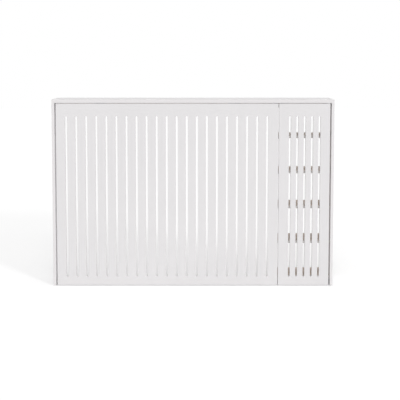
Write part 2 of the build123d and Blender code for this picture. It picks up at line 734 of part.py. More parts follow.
def sub_parts():
    catches = around(GRILLE_MIDDLE, CATCH_SPREAD)
    strike_screws = [strike_screw(mouth) for mouth in strike_screw_mouths()]
    parts = {
        "top_panel": top_panel(),
        "left_side_panel": left_side_panel(),
        "right_side_panel": right_side_panel(),
        "divider_panel": divider_panel(),
        "bottom_board": bottom_board(),
        "top_back_rail": top_back_rail(),
        "storage_back_rail": storage_back_rail(),
        "lower_front_rail": lower_front_rail(),
        "grille_panel": grille_panel(),
        "door_panel": door_panel(),
        "cam_locks": group(cam(joint) for _, _, joint in cam_joints()),
        "cam_bolts": group(cam_bolt(joint) for _, _, joint in cam_joints()),
        "wooden_dowels": group(dowel(place) for _, _, place in dowels()),
        "shelf_pins": group(
            shelf_pin(point, into) for _, point, into in shelf_pin_places()
        ),
        "panel_glides": group(glide(point) for _, point in glide_places()),
        "lower_pivot_bracket": lower_pivot_bracket(),
        "upper_pivot_plate": upper_pivot_plate(),
        "pivot_pins": group(pivot_pins()),
        "pivot_bushes": group(pivot_bushes()),
        "thrust_washer": thrust_washer(),
        "pivot_screws": group(pivot_screws()),
        "catch_housings": group(catch_housing(x) for x in catches),
        "catch_magnets": group(catch_magnet(x) for x in catches),
        "catch_screws": group(screw(seat, UP) for seat in catch_screw_seats()),
        "strike_plates": group(strike_plate(x) for x in catches),
        "strike_screws": group(strike_screws),
        "locating_pegs": group(locating_peg(root) for root in peg_roots()),
        "peg_sockets": group(peg_socket(root) for root in peg_roots()),
        "push_latch_body": push_latch_body(),
        "push_latch_plunger": push_latch_plunger(),
        "latch_magnet": latch_magnet(),
        "latch_spring": latch_spring(),
        "latch_screws": group(screw(seat, UP) for seat in latch_screw_seats()),
        "latch_strike_disc": latch_strike_disc(),
        "latch_strike_screw": strike_screw(latch_disc_middle()),
        "door_bumpers": group(door_bumper(root) for root in bumper_roots()),
    }
    for number, top in enumerate(SHELF_TOPS, start=1):
        parts[f"shelf_{number}"] = shelf(top)
    return parts


os.makedirs("parts", exist_ok=True)
for node, solid in sub_parts().items():
    export_step(solid, f"parts/{node}.step")
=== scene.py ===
import logging
import math
from dataclasses import dataclass
from enum import Enum
from functools import cache
from typing import Sequence

import bmesh
import bpy
import numpy as np
from numpy.typing import NDArray
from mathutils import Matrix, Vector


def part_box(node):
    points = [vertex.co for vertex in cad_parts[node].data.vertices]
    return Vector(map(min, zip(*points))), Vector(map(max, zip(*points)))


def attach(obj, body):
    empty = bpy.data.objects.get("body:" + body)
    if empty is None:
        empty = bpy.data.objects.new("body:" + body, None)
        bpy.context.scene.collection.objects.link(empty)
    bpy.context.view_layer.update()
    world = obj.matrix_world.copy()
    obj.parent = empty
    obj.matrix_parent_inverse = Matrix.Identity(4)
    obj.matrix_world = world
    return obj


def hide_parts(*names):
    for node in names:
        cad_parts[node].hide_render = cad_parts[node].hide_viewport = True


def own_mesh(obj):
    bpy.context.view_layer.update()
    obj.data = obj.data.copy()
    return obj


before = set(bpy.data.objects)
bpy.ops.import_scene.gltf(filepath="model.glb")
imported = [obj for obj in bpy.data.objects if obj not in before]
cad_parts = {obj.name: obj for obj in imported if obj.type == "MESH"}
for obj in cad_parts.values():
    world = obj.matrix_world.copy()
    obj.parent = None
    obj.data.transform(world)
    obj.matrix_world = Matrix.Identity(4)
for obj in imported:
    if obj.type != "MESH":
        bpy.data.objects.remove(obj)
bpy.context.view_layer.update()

# A white radiator cover cabinet: a wide slotted panel that lifts off, and a narrow
# slotted door in front of a bay of shelves. Metres, +X to the viewer's right, the front
# faces -Y, +Z up, and the origin is on the floor under the middle of the footprint.

log = logging.getLogger("radiator_cover")

Floats = NDArray[np.float64]
Ints = NDArray[np.int64]
Colour = tuple[float, float, float]
Point = tuple[float, float, float]
Band = tuple[float, float]
Input = float | tuple[float, ...] | bpy.types.NodeSocket

TURN = 2.0 * math.pi
RIGHT_ANGLE = 90.0
WHITE = (1.0, 1.0, 1.0)
NOISE_MIDDLE = 0.5
WELD_DISTANCE = 1e-7


class Axis(Enum):
    """The axis that a board's thickness, a grain or a spring runs along."""

    X = (1.0, 0.0, 0.0)
    Y = (0.0, 1.0, 0.0)
    Z = (0.0, 0.0, 1.0)


class Kind(Enum):
    """The kinds of value that go into and out of a node group."""

    NUMBER = "NodeSocketFloat"
    VECTOR = "NodeSocketVector"
    COLOUR = "NodeSocketColor"


GROUP_OUTPUTS = {"Colour": Kind.COLOUR, "Roughness": Kind.NUMBER, "Height": Kind.NUMBER}


def opaque(colour: Colour, level: float = 1.0) -> tuple[float, float, float, float]:
    """A colour with full alpha, made lighter or darker by a level."""
    return (colour[0] * level, colour[1] * level, colour[2] * level, 1.0)


# --- Node trees ------------------------------------------------------------------------
@dataclass(frozen=True)
class Noise:
    """How fine a noise pattern is.

    Attributes:
        scale: Repeats to a metre.
        detail: Layers of finer noise in it.
        rough: Strength of each finer layer.
    """

    scale: float
    detail: float = 2.0
    rough: float = 0.5


class Graph:
    """A node tree with short calls that add nodes and join them.

    Args:
        tree: The node tree to fill.

    Attributes:
        MIX_INPUTS: The Mix node's share and two colours, whose names aren't unique.
        MIX_OUTPUT: The Mix node's colour.
    """

    MIX_INPUTS = (0, 6, 7)
    MIX_OUTPUT = 2

    def __init__(self, tree: bpy.types.NodeTree) -> None:
        """Keeps the tree."""
        self.tree = tree

    def add(self, kind: str, sockets: dict[int | str, Input] | None = None,
            **settings: object) -> bpy.types.Node:
        """Adds a node, sets its options and fills or joins its sockets.

        Args:
            kind: Blender's name of the node type.
            sockets: Values or output sockets by input name or number.
            **settings: The node's own options.

        Returns:
            The new node.
        """
        node = self.tree.nodes.new(kind)
        for name, value in settings.items():
            setattr(node, name, value)
        for key, value in (sockets or {}).items():
            if isinstance(value, bpy.types.NodeSocket):
                self.tree.links.new(value, node.inputs[key])
            else:
                node.inputs[key].default_value = value
        return node

    def place(self) -> bpy.types.NodeSocket:
        """The place of each point in its piece's own coordinates, in metres."""
        return self.add("ShaderNodeTexCoord").outputs["Object"]

    def math(self, operation: str, *values: Input) -> bpy.types.NodeSocket:
        """Adds a Math node.

        Args:
            operation: The operation, in Blender's spelling.
            *values: Numbers or sockets, in order.

        Returns:
            The output socket.
        """
        node = self.add("ShaderNodeMath", dict(enumerate(values)), operation=operation)
        return node.outputs["Value"]

    def dot(self, first: Input, second: Input) -> bpy.types.NodeSocket:
        """The dot product of two vectors."""
        node = self.add("ShaderNodeVectorMath", {0: first, 1: second}, operation="DOT_PRODUCT")
        return node.outputs["Value"]

    def scaled(self, where: Input, stretch: Input) -> bpy.types.NodeSocket:
        """A place scaled along each axis; a scale under 1 draws a pattern out."""
        node = self.add("ShaderNodeVectorMath", {0: where, 1: stretch}, operation="MULTIPLY")
        return node.outputs["Vector"]

    def ramp(self, value: Input, band: Band) -> bpy.types.NodeSocket:
        """Maps a value smoothly to the range from 0 to 1.

        Args:
            value: The socket to map.
            band: The values that give 0 and 1.

        Returns:
            The output socket.
        """
        sockets = {"Value": value, "From Min": band[0], "From Max": band[1]}
        node = self.add("ShaderNodeMapRange", sockets, interpolation_type="SMOOTHSTEP")
        return node.outputs["Result"]

    def noise(self, where: Input, noise: Noise, scale: Input | None = None) -> bpy.types.NodeSocket:
        """Adds a noise texture, whose value is about NOISE_MIDDLE on average.

        Args:
            where: The place to read it at.
            noise: How fine it is.
            scale: A socket that takes the place of the noise's own scale.

        Returns:
            The output socket.
        """
        sockets = {"Vector": where, "Scale": noise.scale if scale is None else scale,
                   "Detail": noise.detail, "Roughness": noise.rough}
        return self.add("ShaderNodeTexNoise", sockets).outputs[0]

    def varied(self, noise: Input, spread: float, middle: Input) -> bpy.types.NodeSocket:
        """A value that a noise moves up and down from its middle by half a spread."""
        offset = self.math("SUBTRACT", noise, NOISE_MIDDLE)
        return self.math("MULTIPLY_ADD", offset, spread, middle)

    def blend(self, share: Input, first: Input, second: Input) -> bpy.types.NodeSocket:
        """Mixes two colours: all of the first at a share of 0, and of the second at 1."""
        sockets = dict(zip(self.MIX_INPUTS, (share, first, second)))
        return self.add("ShaderNodeMix", sockets, data_type="RGBA").outputs[self.MIX_OUTPUT]


def new_group(name: str,
              inputs: dict[str, Kind]) -> tuple[Graph, dict[str, bpy.types.NodeSocket]]:
    """Starts a shader node group that gives a colour, a roughness and a height.

    Args:
        name: The group's name.
        inputs: The kinds of its inputs, by name.

    Returns:
        The graph and the group's inputs, by name.
    """
    tree = bpy.data.node_groups.new(name, "ShaderNodeTree")
    for direction, sockets in (("INPUT", inputs), ("OUTPUT", GROUP_OUTPUTS)):
        for label, kind in sockets.items():
            tree.interface.new_socket(name=label, in_out=direction, socket_type=kind.value)
    graph = Graph(tree)
    given = graph.add("NodeGroupInput").outputs
    return graph, {label: given[label] for label in inputs}


@dataclass(frozen=True)
class RolledCoat:
    """The look of lacquer on MDF, shared by the white boards and the inner boards, whose warm tint
    is painted warm shade.

    The face has a faint roller texture, and slow patches of tone and gloss. On the cut
    edges, found by how far a point lies from the board's middle plane, the bare board shows
    through as a finer and rougher tooth, and the colour turns lighter: a painted highlight.

    Attributes:
        patches: Slow patches of tone.
        clouds: Clouds in tone and gloss, drawn out along the roller's way.
        peel: The roller's fine texture.
        tooth: The bare board's texture on the cut edges.
        specks: Pits on the face, which take a share of the lighter pit-and-edge colour.
        edge_band: Depths below the face where the edge's tooth, roughness and painted highlight
            start and are full.
        tone_band: Values of the patches that give the coat's colour and the patch colour.
        pit_band: Values of the specks that give no pit and a full pit.
        cloud_share: Share of the clouds that is added to the patches.
        pit_share: Share of the pit-and-edge colour that shows in a pit.
        gloss_spread: How far the clouds spread the roughness.
    """

    patches: Noise = Noise(5.5, 3.0)
    clouds: Noise = Noise(34.0)
    peel: Noise = Noise(620.0, 2.0, 0.55)
    tooth: Noise = Noise(1700.0, 3.0, 0.7)
    specks: Noise = Noise(900.0, 1.0)
    edge_band: Band = (0.0004, 0.0014)
    tone_band: Band = (0.5, 0.85)
    pit_band: Band = (0.66, 0.74)
    cloud_share: float = 0.35
    pit_share: float = 0.25
    gloss_spread: float = 0.16

    @cache
    def tree(self) -> bpy.types.NodeTree:
        """Builds the node group the first time it is asked for.

        Returns:
            The group.
        """
        graph, given = new_group("rolled_coat", {
            "Colour": Kind.COLOUR, "Patch Colour": Kind.COLOUR, "Pit And Edge Highlight Colour": Kind.COLOUR,
            "Roughness": Kind.NUMBER, "Edge Roughness": Kind.NUMBER,
            "Thickness Axis": Kind.VECTOR, "Middle": Kind.NUMBER, "Half": Kind.NUMBER,
            "Stretch": Kind.VECTOR, "Peel": Kind.NUMBER, "Fibre": Kind.NUMBER,
        })
        where = graph.place()
        along = graph.dot(where, given["Thickness Axis"])
        off_middle = graph.math("ABSOLUTE", graph.math("SUBTRACT", along, given["Middle"]))
        edge = graph.ramp(graph.math("SUBTRACT", given["Half"], off_middle), self.edge_band)
        rolled = graph.scaled(where, given["Stretch"])
        cloud = graph.noise(rolled, self.clouds)

        patch = graph.math("MULTIPLY_ADD", cloud, self.cloud_share,
                           graph.noise(where, self.patches))
        colour = graph.blend(graph.ramp(patch, self.tone_band), given["Colour"],
                             given["Patch Colour"])
        speck = graph.ramp(graph.noise(where, self.specks), self.pit_band)
        pits = graph.math("MULTIPLY", speck,
                          graph.math("MULTIPLY", given["Fibre"], self.pit_share))
        # Painted highlight: the cut edges take the lighter pit-and-edge colour; the random pits
        # take a share of it too.
        colour = graph.blend(graph.math("MAXIMUM", edge, pits), colour, given["Pit And Edge Highlight Colour"])

        face_rough = graph.varied(cloud, self.gloss_spread, given["Roughness"])
        rise = graph.math("SUBTRACT", given["Edge Roughness"], face_rough)
        rough = graph.math("MULTIPLY_ADD", rise, edge, face_rough)

        smooth = graph.math("MULTIPLY", graph.noise(rolled, self.peel), given["Peel"])
        teeth = graph.math("MULTIPLY", graph.noise(where, self.tooth), edge)
        height = graph.math("ADD", smooth, graph.math("MULTIPLY", teeth, given["Fibre"]))
        graph.add("NodeGroupOutput", {"Colour": colour, "Roughness": rough, "Height": height})
        return graph.tree


@dataclass(frozen=True)
class DrawnMetal:
    """The look of plated steel and die-cast zinc: fine lines one way and dull spots.

    Attributes:
        lines: The fine lines; their scale is the finish's own.
        spots: The dull spots.
        spot_band: Values of the spots that are bright and fully dull.
        spot_rough: How much rougher a dull spot is.
        line_spread: How far the lines spread the roughness.
    """

    lines: Noise = Noise(900.0, 3.0, 0.6)
    spots: Noise = Noise(160.0, 3.0, 0.6)
    spot_band: Band = (0.5, 0.72)
    spot_rough: float = 0.18
    line_spread: float = 0.2

    @cache
    def tree(self) -> bpy.types.NodeTree:
        """Builds the node group the first time it is asked for.

        Returns:
            The group.
        """
        graph, given = new_group("drawn_metal", {
            "Colour": Kind.COLOUR, "Dull Colour": Kind.COLOUR, "Roughness": Kind.NUMBER,
            "Stretch": Kind.VECTOR, "Line Scale": Kind.NUMBER,
        })
        where = graph.place()
        drawn = graph.scaled(where, given["Stretch"])
        lines = graph.noise(drawn, self.lines, given["Line Scale"])
        spots = graph.ramp(graph.noise(where, self.spots), self.spot_band)
        colour = graph.blend(spots, given["Colour"], given["Dull Colour"])
        dulled = graph.math("MULTIPLY_ADD", spots, self.spot_rough, given["Roughness"])
        rough = graph.varied(lines, self.line_spread, dulled)
        graph.add("NodeGroupOutput", {"Colour": colour, "Roughness": rough, "Height": lines})
        return graph.tree


@dataclass(frozen=True)
class MouldedSkin:
    """The look of a moulded or pressed piece: a fine eroded grain and slow flow marks.

    Attributes:
        flow: The flow marks.
        grain: The grain; its scale is the finish's own.
        flow_band: Values of the flow marks that give the main and the flow colour.
        grain_spread: How far the grain spreads the roughness.
    """

    flow: Noise = Noise(60.0)
    grain: Noise = Noise(1500.0, 2.0, 0.6)
    flow_band: Band = (0.4, 0.7)
    grain_spread: float = 0.2

    @cache
    def tree(self) -> bpy.types.NodeTree:
        """Builds the node group the first time it is asked for.

        Returns:
            The group.
        """
        graph, given = new_group("moulded_skin", {
            "Colour": Kind.COLOUR, "Flow Colour": Kind.COLOUR, "Roughness": Kind.NUMBER,
            "Grain Scale": Kind.NUMBER,
        })
        where = graph.place()
        flow = graph.ramp(graph.noise(where, self.flow), self.flow_band)
        grain = graph.noise(where, self.grain, given["Grain Scale"])
        colour = graph.blend(flow, given["Colour"], given["Flow Colour"])
        rough = graph.varied(grain, self.grain_spread, given["Roughness"])
        graph.add("NodeGroupOutput", {"Colour": colour, "Roughness": rough, "Height": grain})
        return graph.tree


@dataclass(frozen=True)
class TurnedGrain:
    """The look of raw beech: long pale grain with short dark flecks along it.

    Attributes:
        rings: The grain's bands.
        flecks: The short flecks.
        ring_band: Values of the bands that are early and late wood.
        fleck_band: Values of the flecks that show nothing and a full fleck.
        fleck_share: Share of the late colour in a fleck.
        late_rough: How much rougher the late wood is.
    """

    rings: Noise = Noise(420.0, 4.0, 0.6)
    flecks: Noise = Noise(1500.0, 1.0)
    ring_band: Band = (0.4, 0.68)
    fleck_band: Band = (0.6, 0.72)
    fleck_share: float = 0.7
    late_rough: float = 0.1

    @cache
    def tree(self) -> bpy.types.NodeTree:
        """Builds the node group the first time it is asked for.

        Returns:
            The group.
        """
        graph, given = new_group("turned_grain", {
            "Colour": Kind.COLOUR, "Late Colour": Kind.COLOUR, "Roughness": Kind.NUMBER,
            "Stretch": Kind.VECTOR,
        })
        drawn = graph.scaled(graph.place(), given["Stretch"])
        rings = graph.noise(drawn, self.rings)
        flecks = graph.ramp(graph.noise(drawn, self.flecks), self.fleck_band)
        late = graph.math("MAXIMUM", graph.ramp(rings, self.ring_band),
                          graph.math("MULTIPLY", flecks, self.fleck_share))
        colour = graph.blend(late, given["Colour"], given["Late Colour"])
        rough = graph.math("MULTIPLY_ADD", late, self.late_rough, given["Roughness"])
        graph.add("NodeGroupOutput", {"Colour": colour, "Roughness": rough, "Height": rings})
        return graph.tree


def dressed_material(name: str, tree: bpy.types.NodeTree, values: dict[str, Input], bump: float,
                     **shader: float) -> bpy.types.Material:
    """Makes a material from a shared group and one Principled shader.

    Args:
        name: The material's name.
        tree: The shared group.
        values: The group's inputs by name.
        bump: How far the group's height moves the surface, in metres.
        **shader: Constant sockets of the shader, with _ for a space.

    Returns:
        The material.
    """
    made = bpy.data.materials.new(name)
    made.use_nodes = True
    made.node_tree.nodes.clear()
    graph = Graph(made.node_tree)
    group = graph.add("ShaderNodeGroup", node_tree=tree)
    for label, value in values.items():
        group.inputs[label].default_value = value
    raised = graph.add("ShaderNodeBump", {"Height": group.outputs["Height"], "Distance": bump})
    sockets = {"Base Color": group.outputs["Colour"], "Roughness": group.outputs["Roughness"],
               "Normal": raised.outputs[0]}
    sockets |= {label.replace("_", " "): value for label, value in shader.items()}
    principled = graph.add("ShaderNodeBsdfPrincipled", sockets)
    graph.add("ShaderNodeOutputMaterial", {"Surface": principled.outputs[0]})
    return made


# --- Finishes --------------------------------------------------------------------------
@dataclass(frozen=True)
class BoardFinish:
    """A coat on an MDF panel. Colours are linear.

    Attributes:
        name: Name of the finish.
        colour: Colour of the coat.
        pit_and_edge_highlight: Colour of the pits and the cut edges, lighter than the coat; on the
            edges it is a painted highlight.
        peel: Height of the roller texture, as a share of the bump.
        tooth: Height of the bare board's tooth on the edges, as a share of the bump.
        roughness: Roughness of the face.
        edge_roughness: Roughness of the cut edges.
        patch_level: Level of the slow patches, as a share of the coat's colour.
        draw: How far the roller draws its texture out, from 0 to 1.
        specular: Specular level of the coat, where 0.5 is plain lacquer.
        bump: Height of the texture, in metres.
    """

    name: str
    colour: Colour
    pit_and_edge_highlight: Colour
    peel: float
    tooth: float
    roughness: float = 0.58
    edge_roughness: float = 0.6
    patch_level: float = 0.985
    draw: float = 0.72
    specular: float = 0.2
    bump: float = 0.00006

    def material(self, node: str, thickness: Axis, length: Axis) -> bpy.types.Material:
        """Makes the coat for one board.

        Args:
            node: The board's node, whose box gives the middle of its thickness.
            thickness: The axis of the board's thickness.
            length: The axis that the coat was rolled along.

        Returns:
            The material.
        """
        low, high = (np.array(corner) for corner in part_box(node))
        axis = np.array(thickness.value)
        values = {
            "Colour": opaque(self.colour), "Patch Colour": opaque(self.colour, self.patch_level),
            "Pit And Edge Highlight Colour": opaque(self.pit_and_edge_highlight), "Roughness": self.roughness,
            "Edge Roughness": self.edge_roughness, "Thickness Axis": thickness.value,
            "Middle": float((low + high) @ axis / 2), "Half": float((high - low) @ axis / 2),
            "Stretch": tuple(1.0 - self.draw * np.array(length.value)),
            "Peel": self.peel, "Fibre": self.tooth,
        }
        return dressed_material(f"{self.name}_{node}", RolledCoat().tree(), values, self.bump,
                                Specular_IOR_Level=self.specular)


@dataclass(frozen=True)
class MetalFinish:
    """A plated or cast metal. Colours are linear.

    Attributes:
        name: Name of the finish.
        colour: Colour of the metal.
        dull: Colour of its duller spots.
        roughness: Its roughness.
        line_scale: How fine its lines are, in repeats to a metre.
        stretch: How the lines are drawn out along each axis.
        bump: Height of the lines, in metres.
    """

    name: str
    colour: Colour
    dull: Colour
    roughness: float
    line_scale: float
    stretch: Point = (1.0, 1.0, 1.0)
    bump: float = 0.00003

    @cache
    def material(self) -> bpy.types.Material:
        """Makes the metal the first time it is asked for.

        Returns:
            The material.
        """
        values = {"Colour": opaque(self.colour), "Dull Colour": opaque(self.dull),
                  "Roughness": self.roughness, "Stretch": self.stretch,
                  "Line Scale": self.line_scale}
        return dressed_material(self.name, DrawnMetal().tree(), values, self.bump, Metallic=1.0)


@dataclass(frozen=True)
class MouldedFinish:
    """A moulded plastic, a soft bumper or a pressed magnet. Colours are linear.

    Attributes:
        name: Name of the finish.
        colour: Main colour.
        flow: Colour of the flow marks.
        roughness: Its roughness.
        grain_scale: How fine its grain is, in repeats to a metre.
        see_through: How much light it lets through.
        metallic: How metallic it is.
        bump: Height of the grain, in metres.
    """

    name: str
    colour: Colour
    flow: Colour
    roughness: float
    grain_scale: float = 1500.0
    see_through: float = 0.0
    metallic: float = 0.0
    bump: float = 0.00003

    @cache
    def material(self) -> bpy.types.Material:
        """Makes the moulded material the first time it is asked for.

        Returns:
            The material.
        """
        values = {"Colour": opaque(self.colour), "Flow Colour": opaque(self.flow),
                  "Roughness": self.roughness, "Grain Scale": self.grain_scale}
        return dressed_material(self.name, MouldedSkin().tree(), values, self.bump,
                                Metallic=self.metallic, Transmission_Weight=self.see_through)


@dataclass(frozen=True)
class TimberFinish:
    """Raw turned wood. Colours are linear.

    Attributes:
        name: Name of the finish.
        colour: Colour of the early wood.
        late: Colour of the late wood and the flecks.
        roughness: Roughness of the early wood.
        draw: How far the grain is drawn out, from 0 to 1.
        bump: Height of the grain, in metres.
    """

    name: str
    colour: Colour
    late: Colour
    roughness: float = 0.62
    draw: float = 0.9
    bump: float = 0.0001

    def material(self, grain: Axis) -> bpy.types.Material:
        """Makes the wood with its grain along an axis.

        Args:
            grain: The axis that the grain runs along.

        Returns:
            The material.
        """
        values = {"Colour": opaque(self.colour), "Late Colour": opaque(self.late),
                  "Roughness": self.roughness,
                  "Stretch": tuple(1.0 - self.draw * np.array(grain.value))}
        return dressed_material(f"{self.name}_{grain.name}", TurnedGrain().tree(), values,
                                self.bump)


# Both coats have an edge colour lighter than the face: a painted highlight on the cut edges,
# strongest on the shelves' front edges.
WHITE_LACQUER = BoardFinish("white_lacquer", colour=(0.808, 0.793, 0.8),
                            pit_and_edge_highlight=(0.82, 0.80, 0.805), peel=0.5, tooth=0.45)
# Painted warm shade: the beige tint copies the warm tone that the shelves, the bottom board and the
# back rails show in the cabinet's shade and in the gap under the top.
WARM_SHADE_COAT = BoardFinish("warm_shade_coat", colour=(0.81, 0.705, 0.615),
                         pit_and_edge_highlight=(0.90, 0.885, 0.86), peel=0.8, tooth=0.6)
BRIGHT_ZINC = MetalFinish("bright_zinc", colour=(0.50, 0.52, 0.55), dull=(0.40, 0.41, 0.43),
                          roughness=0.36, line_scale=700.0)
PLATED_STEEL = MetalFinish("plated_steel", colour=(0.58, 0.59, 0.61), dull=(0.46, 0.46, 0.48),
                           roughness=0.24, line_scale=900.0, stretch=(0.15, 1.0, 1.0))
SPRING_STEEL = MetalFinish("spring_steel", colour=(0.42, 0.43, 0.45), dull=(0.33, 0.33, 0.35),
                           roughness=0.3, line_scale=1200.0)
WHITE_NYLON = MouldedFinish("white_nylon", colour=(0.74, 0.74, 0.72), flow=(0.69, 0.69, 0.67),
                            roughness=0.42)
DARK_MAGNET = MouldedFinish("dark_magnet", colour=(0.045, 0.045, 0.05), flow=(0.07, 0.07, 0.075),
                            roughness=0.55, grain_scale=900.0, metallic=0.6)
CLEAR_BUMPER = MouldedFinish("clear_bumper", colour=(0.88, 0.89, 0.9), flow=(0.84, 0.85, 0.87),
                             roughness=0.18, grain_scale=700.0, see_through=0.75)
RAW_BEECH = TimberFinish("raw_beech", colour=(0.56, 0.38, 0.22), late=(0.42, 0.26, 0.13))


def dress(nodes: Sequence[str], material: bpy.types.Material) -> None:
    """Gives CAD nodes a material.

    Args:
        nodes: The nodes' names.
        material: The material for all of them.
    """
    for name in nodes:
        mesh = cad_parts[name].data
        mesh.materials.clear()
        mesh.materials.append(material)
        log.info("dressed %s in %s", name, material.name)


# --- Surfaces --------------------------------------------------------------------------
def grid_faces(rows: int, columns: int) -> Ints:
    """Quads of a grid whose columns close on themselves.

    The quad at row r and column c joins the points (r, c), (r, c + 1), (r + 1, c + 1)
    and (r + 1, c), where column c is taken modulo the number of columns.

    Args:
        rows: Rows of points.
        columns: Points in each closed row.

    Returns:
        The quads, four point numbers each.
    """
    row, column = np.meshgrid(np.arange(rows - 1), np.arange(columns), indexing="ij")
    here, there = row * columns + column, row * columns + (column + 1) % columns
    return np.stack([here, there, there + columns, here + columns], -1).reshape(-1, 4)


def closed_tube(rings: Floats) -> tuple[Floats, Ints]:
    """A surface through closed rings of points, with a pole at each end.

    Each end gains a ring whose points all lie at the middle of the last ring there, so
    the quads that reach it have two equal corners.

    Args:
        rings: Points as rings x points in a ring x 3.

    Returns:
        The points and the quads.
    """
    rows, columns = rings.shape[:2]
    start, end = (np.repeat(ring.mean(0, keepdims=True)[None], columns, 1)
                  for ring in (rings[0], rings[-1]))
    points = np.concatenate([start, rings, end]).reshape(-1, 3)
    return points, grid_faces(rows + 2, columns)


def weld(mesh: bpy.types.Mesh) -> None:
    """Merges equal points, drops the empty corners at the poles and turns faces outwards.

    Args:
        mesh: The mesh to mend.
    """
    soft = bmesh.new()
    soft.from_mesh(mesh)
    bmesh.ops.remove_doubles(soft, verts=soft.verts, dist=WELD_DISTANCE)
    bmesh.ops.recalc_face_normals(soft, faces=soft.faces)
    soft.to_mesh(mesh)
    soft.free()
    mesh.update()


def smooth_object(name: str, points: Floats, quads: Ints,
                  material: bpy.types.Material) -> bpy.types.Object:
    """Makes a smooth-shaded object from points and quads, with its place in its mesh.

    Args:
        name: The object's name.
        points: Its points.
        quads: Its quads, four point numbers each.
        material: Its material.

    Returns:
        The object.
    """
    mesh = bpy.data.meshes.new(name)
    mesh.from_pydata(points, [], quads.tolist())
    weld(mesh)
    mesh.polygons.foreach_set("use_smooth", np.ones(len(mesh.polygons), bool))
    mesh.materials.append(material)
    piece = bpy.data.objects.new(name, mesh)
    bpy.context.scene.collection.objects.link(piece)
    log.info("built %s: %d faces", name, len(mesh.polygons))
    return piece


# --- Sub-assemblies --------------------------------------------------------------------
@dataclass(frozen=True)
class Board:
    """A coated board.

    Attributes:
        node: Its CAD node.
        thickness: The axis of its thickness.
        length: The axis that its coat was rolled along.
    """

    node: str
    thickness: Axis
    length: Axis

    def coat(self, finish: BoardFinish) -> None:
        """Gives the board a finish."""
        dress([self.node], finish.material(self.node, self.thickness, self.length))


@dataclass(frozen=True)
class Carcass:
    """The fixed boards: the top, the uprights and the rails.

    Attributes:
        lacquered: Boards that the white lacquer covers.
        back_rails: Rails in the warm coat, whose tint is painted warm shade.
        glides: The nodes of the glides under the uprights.
    """

    lacquered: tuple[Board, ...] = (
        Board("top_panel", Axis.Z, Axis.X),
        Board("left_side_panel", Axis.X, Axis.Z),
        Board("right_side_panel", Axis.X, Axis.Z),
        Board("divider_panel", Axis.X, Axis.Z),
        Board("lower_front_rail", Axis.Y, Axis.X),
    )
    back_rails: tuple[Board, ...] = (
        Board("top_back_rail", Axis.Y, Axis.X),
        Board("storage_back_rail", Axis.Y, Axis.X),
    )
    glides: tuple[str, ...] = ("panel_glides",)

    def build(self) -> None:
        """Coats the boards and dresses the glides."""
        for board in self.lacquered:
            board.coat(WHITE_LACQUER)
        for board in self.back_rails:
            board.coat(WARM_SHADE_COAT)
        dress(self.glides, WHITE_NYLON.material())


@dataclass(frozen=True)
class ShelfBay:
    """The loose shelves and the fixed bottom board behind the door.

    Attributes:
        boards: The nodes of the boards, from the floor up.
        pins: The nodes of the shelf pins.
    """

    boards: tuple[str, ...] = ("bottom_board", "shelf_1", "shelf_2", "shelf_3", "shelf_4")
    pins: tuple[str, ...] = ("shelf_pins",)

    def build(self) -> None:
        """Gives the boards the warm coat, whose tint is painted warm shade, and the pins their
        zinc.
        """
        for node in self.boards:
            Board(node, Axis.Z, Axis.X).coat(WARM_SHADE_COAT)
        dress(self.pins, BRIGHT_ZINC.material())


@dataclass(frozen=True)
class FrontPanels:
    """The lift-off slotted panel and the slotted door.

    Attributes:
        panels: Their nodes.
    """

    panels: tuple[str, ...] = ("grille_panel", "door_panel")

    def build(self) -> None:
        """Gives both panels the lacquer, rolled along the slots."""
        for node in self.panels:
            Board(node, Axis.Y, Axis.Z).coat(WHITE_LACQUER)


